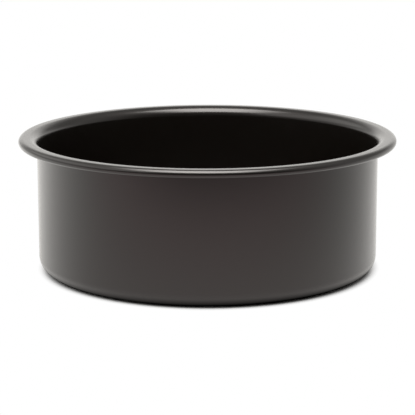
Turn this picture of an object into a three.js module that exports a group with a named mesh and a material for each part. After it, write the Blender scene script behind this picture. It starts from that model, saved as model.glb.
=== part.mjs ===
// Deep round cake tin: a drawn ring with a rolled rim and a turned-in ledge, and a loose base on the ledge.
// Millimetres, +Z up. The origin is on the surface the tin stands on, at the centre of the tin.
import * as THREE from 'three';

// Ring: sheet, mouth and height
const innerDiameter = 200;
const sheet = 0.8;
const height = 79.5;

// Rim: the wall flares out over a fillet, runs flat along a land, rolls down and closes under in a tighter curl
const rimFillet = 5.9;
const rimLand = 2.75;
const rollRadius = 3.2;
const rollSweep = 50;
const curlRadius = 2.1;
const curlSweep = 100;

// Foot: the wall turns in round a corner to a flat ledge
const cornerRadius = 8.3;
const ledgeWidth = 9.0;

// Loose base: a flat plate with one pressed bead that keeps it flat
const baseSheet = 1.0;
const seatClearance = 0.3;
const beadInset = 9.0;
const beadWidth = 8.0;
const beadHeight = 1.2;

// Fineness of the facets
const turnSegments = 64;
const cornerSteps = 5;
const filletSteps = 6;
const rollSteps = 4;
const curlSteps = 7;
const edgeSteps = 3;
const beadSteps = 8;

// Radii that follow from the sizes above
const innerRadius = innerDiameter / 2;
const cornerInside = cornerRadius - sheet;
const cornerCentre = innerRadius - cornerInside;
const ledgeEdge = cornerCentre - ledgeWidth;

const coating = {
  color: new THREE.Color(0x2b2826),
  roughness: 0.42,
  metalness: 0.1,
};

// Points of an arc in the plane of radius and height, from one angle to another in degrees
function arc(centreR, centreZ, radius, fromAngle, toAngle, steps) {
  const points = [];
  for (let i = 0; i <= steps; i += 1) {
    const angle = THREE.MathUtils.degToRad(THREE.MathUtils.lerp(fromAngle, toAngle, i / steps));
    points.push(new THREE.Vector2(
      centreR + radius * Math.cos(angle),
      centreZ + radius * Math.sin(angle),
    ));
  }
  return points;
}

// The ring's section, outside face first, then back along the inside face to where it began
function ringSection() {
  const half = sheet / 2;
  const filletCentre = { r: innerRadius + rimFillet, z: height - rimFillet };
  const rollCentre = { r: filletCentre.r + rimLand, z: height - rollRadius };
  const rollEnd = 90 - rollSweep;
  const curlEnd = rollEnd - curlSweep;
  const [curlCentre] = arc(rollCentre.r, rollCentre.z, rollRadius - curlRadius, rollEnd, rollEnd, 1);
  const [tip] = arc(curlCentre.x, curlCentre.y, curlRadius - half, curlEnd, curlEnd, 1);
  const section = [
    ...arc(cornerCentre, cornerRadius, cornerRadius, -90, 0, cornerSteps),
    ...arc(filletCentre.r, filletCentre.z, rimFillet - sheet, 180, 90, filletSteps),
    ...arc(rollCentre.r, rollCentre.z, rollRadius - sheet, 90, rollEnd, rollSteps),
    ...arc(curlCentre.x, curlCentre.y, curlRadius - sheet, rollEnd, curlEnd, curlSteps).slice(1),
    ...arc(tip.x, tip.y, half, curlEnd - 180, curlEnd, edgeSteps).slice(1, -1),
    ...arc(curlCentre.x, curlCentre.y, curlRadius, curlEnd, rollEnd, curlSteps),
    ...arc(rollCentre.r, rollCentre.z, rollRadius, rollEnd, 90, rollSteps).slice(1),
    ...arc(filletCentre.r, filletCentre.z, rimFillet, 90, 180, filletSteps),
    ...arc(cornerCentre, cornerRadius, cornerInside, 0, -90, cornerSteps),
    ...arc(ledgeEdge + half, half, half, 90, 270, edgeSteps),
  ];
  section.push(section[0].clone());
  return section;
}

// The height of the pressed bead at a radius, zero at both its feet
function beadRise(radius, beadCentre) {
  const phase = (radius - beadCentre) / beadWidth;
  return beadHeight * 0.5 * (1 + Math.cos(2 * Math.PI * phase));
}

// The base's section from the axis along the underside, round the edge and back along the top.
// Its rounded edge starts where the ring's corner does, so it clears the corner as it clears the ledge.
function baseSection() {
  const half = baseSheet / 2;
  const underside = sheet + seatClearance;
  const beadCentre = ledgeEdge - beadInset;
  const lowerFace = [new THREE.Vector2(0, underside)];
  for (let i = 0; i <= beadSteps; i += 1) {
    const radius = beadCentre + beadWidth * (i / beadSteps - 0.5);
    lowerFace.push(new THREE.Vector2(radius, underside + beadRise(radius, beadCentre)));
  }
  const upperFace = lowerFace.map((point) => new THREE.Vector2(point.x, point.y + baseSheet));
  return [
    ...lowerFace,
    ...arc(cornerCentre, underside + half, half, -90, 90, edgeSteps),
    ...upperFace.reverse(),
  ];
}

// Turns a section about the upright axis
function turned(name, section) {
  const geometry = new THREE.LatheGeometry(section, turnSegments);
  geometry.rotateX(Math.PI / 2);
  const mesh = new THREE.Mesh(geometry, new THREE.MeshStandardMaterial(coating));
  mesh.name = name;
  return mesh;
}

const cakeTin = new THREE.Group();
cakeTin.name = 'cake_tin';
cakeTin.add(turned('pan_ring', ringSection()));
cakeTin.add(turned('loose_base', baseSection()));

export default cakeTin;
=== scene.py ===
import math

import bmesh
import bpy
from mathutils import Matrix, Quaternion, Vector


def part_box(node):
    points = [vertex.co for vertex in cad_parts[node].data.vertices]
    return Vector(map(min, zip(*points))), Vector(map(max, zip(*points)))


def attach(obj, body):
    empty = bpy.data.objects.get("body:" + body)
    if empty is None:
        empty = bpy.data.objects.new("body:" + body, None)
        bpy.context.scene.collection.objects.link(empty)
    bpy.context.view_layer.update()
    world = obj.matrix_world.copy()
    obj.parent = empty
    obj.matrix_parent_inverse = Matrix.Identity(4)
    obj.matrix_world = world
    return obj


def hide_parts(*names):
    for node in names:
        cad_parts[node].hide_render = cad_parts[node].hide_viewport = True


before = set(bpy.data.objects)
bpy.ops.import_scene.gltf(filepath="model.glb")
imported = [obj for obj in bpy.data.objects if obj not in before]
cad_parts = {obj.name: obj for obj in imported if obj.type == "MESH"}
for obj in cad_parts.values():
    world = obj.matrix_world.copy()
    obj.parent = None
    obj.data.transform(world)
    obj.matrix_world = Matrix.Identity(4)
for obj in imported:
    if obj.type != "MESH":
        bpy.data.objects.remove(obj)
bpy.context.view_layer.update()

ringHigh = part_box("pan_ring")[1]
baseLow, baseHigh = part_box("loose_base")


# camera, a long lens a little above the rim
cameraView = {
    "distance": 1.028,      # metres from the aim point
    "elevation": 12.55,     # degrees above the floor
    "roll": -0.095,         # degrees, the horizon is a hair off level
    "aimHeight": 0.0348,    # metres above the floor, on the pan's axis
    "focalPixels": 1717.0,  # focal length in pixels of the square frame
    "framePixels": 415,
    "sensor": 36.0,
    "near": 0.01,
    "far": 50.0,
}


def makeCamera(c):
    data = bpy.data.cameras.new("camera")
    data.sensor_width = c["sensor"]
    data.lens = c["focalPixels"] / c["framePixels"] * c["sensor"]
    data.clip_start = c["near"]
    data.clip_end = c["far"]
    camera = bpy.data.objects.new("camera", data)
    bpy.context.scene.collection.objects.link(camera)
    tilt = math.radians(c["elevation"])
    back = Vector((0.0, -math.cos(tilt), math.sin(tilt)))
    camera.location = Vector((0.0, 0.0, c["aimHeight"])) + back * c["distance"]
    camera.rotation_mode = "QUATERNION"
    roll = Quaternion((0.0, 0.0, 1.0), math.radians(c["roll"]))
    camera.rotation_quaternion = (-back).to_track_quat("-Z", "Y") @ roll
    bpy.context.scene.camera = camera


makeCamera(cameraView)
print("camera set")


# small helpers for node trees; spot is where a node is drawn in the editor
def newMaterial(name):
    material = bpy.data.materials.new(name)
    material.use_nodes = True
    material.node_tree.nodes.clear()
    return material, material.node_tree


def addNode(tree, kind, spot, **settings):
    node = tree.nodes.new(kind)
    node.location = spot
    for key, value in settings.items():
        setattr(node, key, value)
    return node


def mapTo(tree, spot, source, fromMin, fromMax, toMin=0.0, toMax=1.0):
    node = addNode(tree, "ShaderNodeMapRange", spot, interpolation_type="SMOOTHSTEP")
    node.inputs["From Min"].default_value = fromMin
    node.inputs["From Max"].default_value = fromMax
    node.inputs["To Min"].default_value = toMin
    node.inputs["To Max"].default_value = toMax
    tree.links.new(source, node.inputs["Value"])
    return node.outputs["Result"]


def combine(tree, spot, operation, first, second):
    node = addNode(tree, "ShaderNodeMath", spot, operation=operation)
    tree.links.new(first, node.inputs[0])
    tree.links.new(second, node.inputs[1])
    return node.outputs["Value"]


def blend(tree, spot, mask, source, level):
    node = addNode(tree, "ShaderNodeMix", spot, data_type="FLOAT")
    tree.links.new(mask, node.inputs["Factor"])
    tree.links.new(source, node.inputs["A"])
    node.inputs["B"].default_value = level
    return node.outputs["Result"]


def blendColour(tree, spot, mask, first, second):
    # either colour is a fixed one or a socket
    node = addNode(tree, "ShaderNodeMix", spot, data_type="RGBA")
    tree.links.new(mask, node.inputs["Factor"])
    for colour, name in ((first, "A"), (second, "B")):
        if isinstance(colour, tuple):
            node.inputs[name].default_value = (*colour, 1.0)
        else:
            tree.links.new(colour, node.inputs[name])
    return node.outputs["Result"]


plainWhite = (1.0, 1.0, 1.0)
lightTint = (1.0, 0.980, 0.945)    # the studio light is a little warm


# the coat's grain: a soft mottle and a fine orange peel, shared by both pieces
grainNoise = {
    "Mottle": {"detail": 3.0, "rough": 0.55},
    "Peel": {"detail": 2.0, "rough": 0.50},
}


def makeCoatGrain(c):
    tree = bpy.data.node_groups.new("coatGrain", "ShaderNodeTree")
    tree.interface.new_socket("Vector", in_out="INPUT", socket_type="NodeSocketVector")
    for name in c:
        tree.interface.new_socket(name + " Scale", in_out="INPUT", socket_type="NodeSocketFloat")
        tree.interface.new_socket(name, in_out="OUTPUT", socket_type="NodeSocketFloat")
    inputs = addNode(tree, "NodeGroupInput", (-500, 0))
    outputs = addNode(tree, "NodeGroupOutput", (200, 0))
    row = 150
    for name, look in c.items():
        noise = addNode(tree, "ShaderNodeTexNoise", (-250, row))
        noise.inputs["Detail"].default_value = look["detail"]
        noise.inputs["Roughness"].default_value = look["rough"]
        tree.links.new(inputs.outputs["Vector"], noise.inputs["Vector"])
        tree.links.new(inputs.outputs[name + " Scale"], noise.inputs["Scale"])
        tree.links.new(noise.outputs["Fac"], outputs.inputs[name])
        row -= 300
    return tree


coatGrain = makeCoatGrain(grainNoise)

wallCoat = {
    "dark": (0.0030, 0.0019, 0.0010),    # warm black, and a little paler in the mottle
    "light": (0.0040, 0.0027, 0.0016),
    "warmGloss": (1.0, 0.93, 0.92),      # the lower layer throws light back warmer
    "ior": 1.5,
    "roughLow": 0.30,
    "roughHigh": 0.36,
    "clearWeight": 1.0,      # the smooth top layer
    "clearRough": 0.12,
    "mottleScale": 160.0,    # spots about 6 mm across
    "peelScale": 1400.0,     # peel about 0.7 mm across
    "peelStrength": 1.0,
    "peelHeight": 0.000012,
}

baseCoat = dict(wallCoat, roughLow=0.38, roughHigh=0.46, clearRough=0.18, mottleScale=120.0)


def makeCoat(name, c):
    material, tree = newMaterial(name)
    place = addNode(tree, "ShaderNodeTexCoord", (-1000, 0))
    grain = addNode(tree, "ShaderNodeGroup", (-800, 0), node_tree=coatGrain)
    grain.inputs["Mottle Scale"].default_value = c["mottleScale"]
    grain.inputs["Peel Scale"].default_value = c["peelScale"]
    tint = blendColour(tree, (-500, 200), grain.outputs["Mottle"], c["dark"], c["light"])
    rough = addNode(tree, "ShaderNodeMapRange", (-500, -50))
    rough.inputs["To Min"].default_value = c["roughLow"]
    rough.inputs["To Max"].default_value = c["roughHigh"]
    bump = addNode(tree, "ShaderNodeBump", (-500, -350))
    bump.inputs["Strength"].default_value = c["peelStrength"]
    bump.inputs["Distance"].default_value = c["peelHeight"]
    shader = addNode(tree, "ShaderNodeBsdfPrincipled", (-200, 0))
    shader.inputs["IOR"].default_value = c["ior"]
    shader.inputs["Specular Tint"].default_value = (*c["warmGloss"], 1.0)
    shader.inputs["Coat Weight"].default_value = c["clearWeight"]
    shader.inputs["Coat Roughness"].default_value = c["clearRough"]
    out = addNode(tree, "ShaderNodeOutputMaterial", (100, 0))
    tree.links.new(place.outputs["Object"], grain.inputs["Vector"])
    tree.links.new(grain.outputs["Mottle"], rough.inputs["Value"])
    tree.links.new(grain.outputs["Peel"], bump.inputs["Height"])
    tree.links.new(tint, shader.inputs["Base Color"])
    tree.links.new(rough.outputs["Result"], shader.inputs["Roughness"])
    tree.links.new(bump.outputs["Normal"], shader.inputs["Normal"])
    tree.links.new(shader.outputs["BSDF"], out.inputs["Surface"])
    return material


# drawing a sheet's section in the XZ plane: straight runs and round bends of one chain of edges
origin = (0.0, 0.0, 0.0)
crossAxis = (0.0, 1.0, 0.0)
uprightAxis = (0.0, 0.0, 1.0)
quarterTurn = 90.0


def runTo(bm, vert, radius, height):
    made = bmesh.ops.extrude_vert_indiv(bm, verts=[vert])
    made["verts"][0].co = (radius, 0.0, height)
    return made["verts"][0]


def bend(bm, vert, centreRadius, centreHeight, turn, steps):
    # a turn above zero is clockwise, seen with the pan's axis on the left
    made = bmesh.ops.spin(bm, geom=[vert], cent=(centreRadius, 0.0, centreHeight), axis=crossAxis,
                          angle=math.radians(turn), steps=steps, use_merge=False)
    return next(g for g in made["geom_last"] if isinstance(g, bmesh.types.BMVert))


# turning a section into a sheet with rounded edges
sheetFinish = {
    "weld": 1e-6,          # metres, points nearer than this are one
    "turnSteps": 256,
    "edgeSteps": 3,
    "edgeAngle": 60.0,     # degrees, edges sharper than this are rounded
}


def spinSheet(bm, name, sheet, edgeRound, material, c):
    bmesh.ops.spin(bm, geom=bm.verts[:] + bm.edges[:], cent=origin, axis=uprightAxis,
                   angle=math.tau, steps=c["turnSteps"], use_merge=True)
    bmesh.ops.remove_doubles(bm, verts=bm.verts[:], dist=c["weld"])
    bmesh.ops.recalc_face_normals(bm, faces=bm.faces[:])
    for face in bm.faces:
        face.smooth = True
    mesh = bpy.data.meshes.new(name)
    bm.to_mesh(mesh)
    bm.free()
    mesh.materials.append(material)
    piece = bpy.data.objects.new(name, mesh)
    bpy.context.scene.collection.objects.link(piece)
    wall = piece.modifiers.new("sheet", "SOLIDIFY")
    wall.thickness = sheet
    wall.offset = 0.0
    edge = piece.modifiers.new("softEdge", "BEVEL")
    edge.width = sheet * edgeRound
    edge.segments = c["edgeSteps"]
    edge.limit_method = "ANGLE"
    edge.angle_limit = math.radians(c["edgeAngle"])
    return piece


# the ring: ledge, corner, wall, flared rim and rolled edge in one sheet
ringSheet = {
    "sheet": 0.0008,
    "edgeRound": 0.42,       # part of the sheet
    "ledgeWidth": 0.0090,
    "cornerRadius": 0.0083,
    "cornerSteps": 14,
    "rimFillet": 0.0059,     # the wall flares out over this
    "filletSteps": 16,
    "rimLand": 0.00275,      # runs flat for this
    "rollRadius": 0.0032,    # rolls down over this
    "rollSweep": 50.0,
    "rollSteps": 10,
    "curlRadius": 0.0021,    # and closes under over this
    "curlSweep": 100.0,
    "curlSteps": 16,
}


def makeRing(c, material):
    half = c["sheet"] / 2
    turn = math.radians(c["rollSweep"])
    closing = c["rollRadius"] - c["curlRadius"]
    rollHeight = ringHigh.z - c["rollRadius"]
    curlHeight = rollHeight + closing * math.cos(turn)
    curlCentre = ringHigh.x - c["curlRadius"]
    rollCentre = curlCentre - closing * math.sin(turn)
    filletCentre = rollCentre - c["rimLand"]
    filletHeight = ringHigh.z - c["rimFillet"]
    innerRadius = filletCentre - c["rimFillet"]
    cornerCentre = innerRadius + c["sheet"] - c["cornerRadius"]
    bm = bmesh.new()
    vert = bm.verts.new((cornerCentre - c["ledgeWidth"], 0.0, half))
    vert = runTo(bm, vert, cornerCentre, half)
    vert = bend(bm, vert, cornerCentre, c["cornerRadius"], -quarterTurn, c["cornerSteps"])
    vert = runTo(bm, vert, innerRadius + half, filletHeight)
    vert = bend(bm, vert, filletCentre, filletHeight, quarterTurn, c["filletSteps"])
    vert = runTo(bm, vert, rollCentre, ringHigh.z - half)
    vert = bend(bm, vert, rollCentre, rollHeight, c["rollSweep"], c["rollSteps"])
    bend(bm, vert, curlCentre, curlHeight, c["curlSweep"], c["curlSteps"])
    return spinSheet(bm, "coated_ring", c["sheet"], c["edgeRound"], material, sheetFinish)


ring = makeRing(ringSheet, makeCoat("wallCoat", wallCoat))
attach(ring, "ring")
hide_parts("pan_ring")
print("ring made")


# the loose base: a flat plate with one pressed bead
baseSheet = {
    "sheet": 0.0010,
    "edgeRound": 0.45,       # part of the sheet
    "beadCentre": 0.0745,
    "beadWidth": 0.0080,
    "beadHeight": 0.0012,
    "beadSteps": 6,          # for each of its four bends
}


def makeBase(c, material):
    # the bead is four bends of one radius: up, over the top in two, and down
    middle = baseLow.z + c["sheet"] / 2
    slope = 2 * math.degrees(math.atan(2 * c["beadHeight"] / c["beadWidth"]))
    bow = c["beadWidth"] / 4 / math.sin(math.radians(slope))
    beadStart = c["beadCentre"] - c["beadWidth"] / 2
    beadEnd = c["beadCentre"] + c["beadWidth"] / 2
    beadTop = middle + c["beadHeight"]
    bm = bmesh.new()
    vert = bm.verts.new((0.0, 0.0, middle))
    vert = runTo(bm, vert, beadStart, middle)
    vert = bend(bm, vert, beadStart, middle + bow, -slope, c["beadSteps"])
    vert = bend(bm, vert, c["beadCentre"], beadTop - bow, 2 * slope, 2 * c["beadSteps"])
    vert = bend(bm, vert, beadEnd, middle + bow, -slope, c["beadSteps"])
    runTo(bm, vert, baseHigh.x, middle)
    return spinSheet(bm, "coated_base", c["sheet"], c["edgeRound"], material, sheetFinish)


base = makeBase(baseSheet, makeCoat("baseCoat", baseCoat))
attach(base, "base")
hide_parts("loose_base")
print("base made")


# the stage: a semi-gloss white floor that turns into plain white ground a little way off the pan; in the
# coat's gloss the ground is a glow with painted shade and light on it
floorPaint = {
    "reach": 6.0,
    "drop": 0.00003,                 # a hair under the foot, so that the two don't share a plane
    "white": (0.85, 0.85, 0.85, 1.0),
    "rough": 0.20,
    "ior": 1.45,
    # centre of the painted contact shadow in the coat's gloss, and of the camera's plain-white edge
    "shadeCentre": (0.0005, 0.0, 0.0),
    "shownRange": (0.0955, 0.1030),  # metres from there, where the camera's ground turns plain white
    "paintedFootShadowRange": (0.0955, 0.1055),   # where the ground in the coat's gloss comes out of a painted contact shadow round the foot
    "paintedWarmFront": (1.0, 0.83, 0.82),  # a painted warm reflection: that ground is warmer in front in the coat's gloss
    "tintRange": (-0.30, -0.02),
    "paintedFalloffs": (                       # and dims along an axis, a painted falloff of light: metres, and the levels at both
        ("Y", (-0.22, 0.30), (0.72, 1.0)),
        ("Y", (-0.57, -0.20), (0.10, 1.0)),
        ("X", (0.00, 0.40), (1.0, 0.70)),
    ),
}


def makeFloorPaint(c):
    material, tree = newMaterial("floorPaint")
    rays = addNode(tree, "ShaderNodeLightPath", (-1400, 400))
    camera = rays.outputs["Is Camera Ray"]
    gloss = combine(tree, (-1150, 300), "MAXIMUM", rays.outputs["Is Glossy Ray"],
                    rays.outputs["Is Transmission Ray"])
    place = addNode(tree, "ShaderNodeTexCoord", (-1900, -200))
    parts = addNode(tree, "ShaderNodeSeparateXYZ", (-1500, -500))
    tree.links.new(place.outputs["Object"], parts.inputs["Vector"])
    shade = addNode(tree, "ShaderNodeVectorMath", (-1500, -100), operation="DISTANCE")
    shade.inputs[1].default_value = c["shadeCentre"]
    tree.links.new(place.outputs["Object"], shade.inputs[0])
    away = shade.outputs["Value"]
    shown = mapTo(tree, (-1200, 50), away, *c["shownRange"])
    # painted contact shadow: the ground's glow in the coat's gloss is dark at the foot and rises outward
    level = mapTo(tree, (-1200, -200), away, *c["paintedFootShadowRange"])
    behind = mapTo(tree, (-1200, -1200), parts.outputs["Y"], *c["tintRange"])
    row = -450
    # painted falloff of light: the ground's glow in the coat's gloss dims towards the front and the
    # right
    for axis, span, levels in c["paintedFalloffs"]:
        fade = mapTo(tree, (-1200, row), parts.outputs[axis], *span, *levels)
        level = combine(tree, (-950, row), "MULTIPLY", level, fade)
        row -= 250
    seen = combine(tree, (-950, 100), "MULTIPLY", camera, shown)
    plain = combine(tree, (-750, 0), "MAXIMUM", gloss, seen)
    paint = addNode(tree, "ShaderNodeBsdfPrincipled", (-500, 350))
    paint.inputs["Base Color"].default_value = c["white"]
    paint.inputs["Roughness"].default_value = c["rough"]
    paint.inputs["IOR"].default_value = c["ior"]
    ground = addNode(tree, "ShaderNodeEmission", (-300, -250))
    mix = addNode(tree, "ShaderNodeMixShader", (-50, 0))
    out = addNode(tree, "ShaderNodeOutputMaterial", (150, 0))
    # painted warm reflection: the gloss sees the ground warmer in front, the camera sees it plain white
    tint = blendColour(tree, (-950, -1200), behind, c["paintedWarmFront"], lightTint)
    tree.links.new(blendColour(tree, (-500, -200), camera, tint, plainWhite), ground.inputs["Color"])
    tree.links.new(blend(tree, (-500, -450), camera, level, 1.0), ground.inputs["Strength"])
    tree.links.new(plain, mix.inputs["Fac"])
    tree.links.new(paint.outputs["BSDF"], mix.inputs[1])
    tree.links.new(ground.outputs["Emission"], mix.inputs[2])
    tree.links.new(mix.outputs["Shader"], out.inputs["Surface"])
    return material


def makeFloor(c):
    bm = bmesh.new()
    bmesh.ops.create_grid(bm, x_segments=1, y_segments=1, size=c["reach"])
    bmesh.ops.translate(bm, verts=bm.verts[:], vec=(0.0, 0.0, -c["drop"]))
    mesh = bpy.data.meshes.new("floor")
    bm.to_mesh(mesh)
    bm.free()
    mesh.materials.append(makeFloorPaint(c))
    floor = bpy.data.objects.new("floor", mesh)
    bpy.context.scene.collection.objects.link(floor)


makeFloor(floorPaint)
print("floor laid")


# one large soft box over the pan, leaning towards the camera, that fades at its left and right ends
overBox = {
    "place": (-0.033, -0.187, 0.72),
    "aim": (0.0, 0.0, 0.05),
    "width": 0.93,
    "depth": 0.62,
    "fade": 0.40,    # the part of the width at each end
    "watts": 10.15,
}


def makeBox(c):
    data = bpy.data.lights.new("overBox", "AREA")
    data.shape = "RECTANGLE"
    data.size = c["width"]
    data.size_y = c["depth"]
    data.energy = c["watts"]
    data.color = lightTint
    data.use_nodes = True
    tree = data.node_tree
    tree.nodes.clear()
    place = addNode(tree, "ShaderNodeNewGeometry", (-900, 0))
    parts = addNode(tree, "ShaderNodeSeparateXYZ", (-700, 0))
    tree.links.new(place.outputs["Parametric"], parts.inputs["Vector"])
    left = mapTo(tree, (-500, 150), parts.outputs["X"], 0.0, c["fade"])
    right = mapTo(tree, (-500, -150), parts.outputs["X"], 1.0, 1.0 - c["fade"])
    glow = addNode(tree, "ShaderNodeEmission", (0, 0))
    out = addNode(tree, "ShaderNodeOutputLight", (200, 0))
    tree.links.new(combine(tree, (-250, 0), "MULTIPLY", left, right), glow.inputs["Strength"])
    tree.links.new(glow.outputs["Emission"], out.inputs["Surface"])
    lamp = bpy.data.objects.new("overBox", data)
    bpy.context.scene.collection.objects.link(lamp)
    lamp.location = c["place"]
    lamp.rotation_mode = "QUATERNION"
    lamp.rotation_quaternion = (Vector(c["aim"]) - lamp.location).to_track_quat("-Z", "Y")


makeBox(overBox)
print("box hung")


# the room: dim in front, paler at the sides, and patches over that
# bounds are parts of a unit vector: across to the right, aside to either side, along to the back, up
room = {
    "front": 0.06,
    "side": 0.40,
    "frontRange": (-0.90, 0.00),
    "top": {"level": 0.24, "along": (0.20, 0.60)},
    "horizon": {"level": 0.60, "along": (0.10, 0.50), "up": (0.35, 0.10)},
    "backdrop": {"level": 0.92, "along": (0.00, 0.40), "aside": (0.50, 0.20), "up": (0.70, 0.10)},
    "leftWall": {"level": 0.94, "across": (-0.35, -0.75), "up": (0.85, 0.65), "foot": (0.20, 0.40)},
}


def makeRoom(c):
    world = bpy.data.worlds.new("room")
    bpy.context.scene.world = world
    world.use_nodes = True
    tree = world.node_tree
    tree.nodes.clear()
    place = addNode(tree, "ShaderNodeTexCoord", (-1500, 0))
    parts = addNode(tree, "ShaderNodeSeparateXYZ", (-1300, 0))
    tree.links.new(place.outputs["Generated"], parts.inputs["Vector"])
    across, along, up = parts.outputs
    aside = addNode(tree, "ShaderNodeMath", (-1100, 0), operation="ABSOLUTE")
    tree.links.new(across, aside.inputs[0])
    bearings = {"across": across, "aside": aside.outputs["Value"], "along": along, "up": up, "foot": up}
    level = mapTo(tree, (-800, 400), along, *c["frontRange"], c["front"], c["side"])
    row = 100
    for patch in (c["top"], c["horizon"], c["backdrop"], c["leftWall"]):
        masks = []
        for name in bearings:
            if name in patch:
                masks.append(mapTo(tree, (-800, row), bearings[name], *patch[name]))
                row -= 250
        mask = masks[0]
        for other in masks[1:]:
            mask = combine(tree, (-500, row), "MULTIPLY", mask, other)
        level = blend(tree, (-250, row), mask, level, patch["level"])
    rays = addNode(tree, "ShaderNodeLightPath", (-250, 500))
    camera = rays.outputs["Is Camera Ray"]
    sky = addNode(tree, "ShaderNodeBackground", (350, 0))
    out = addNode(tree, "ShaderNodeOutputWorld", (550, 0))
    tree.links.new(blendColour(tree, (100, 200), camera, lightTint, plainWhite), sky.inputs["Color"])
    tree.links.new(blend(tree, (100, -100), camera, level, 1.0), sky.inputs["Strength"])
    tree.links.new(sky.outputs["Background"], out.inputs["Surface"])


makeRoom(room)
bpy.context.scene.view_settings.view_transform = "Standard"
print("room lit")
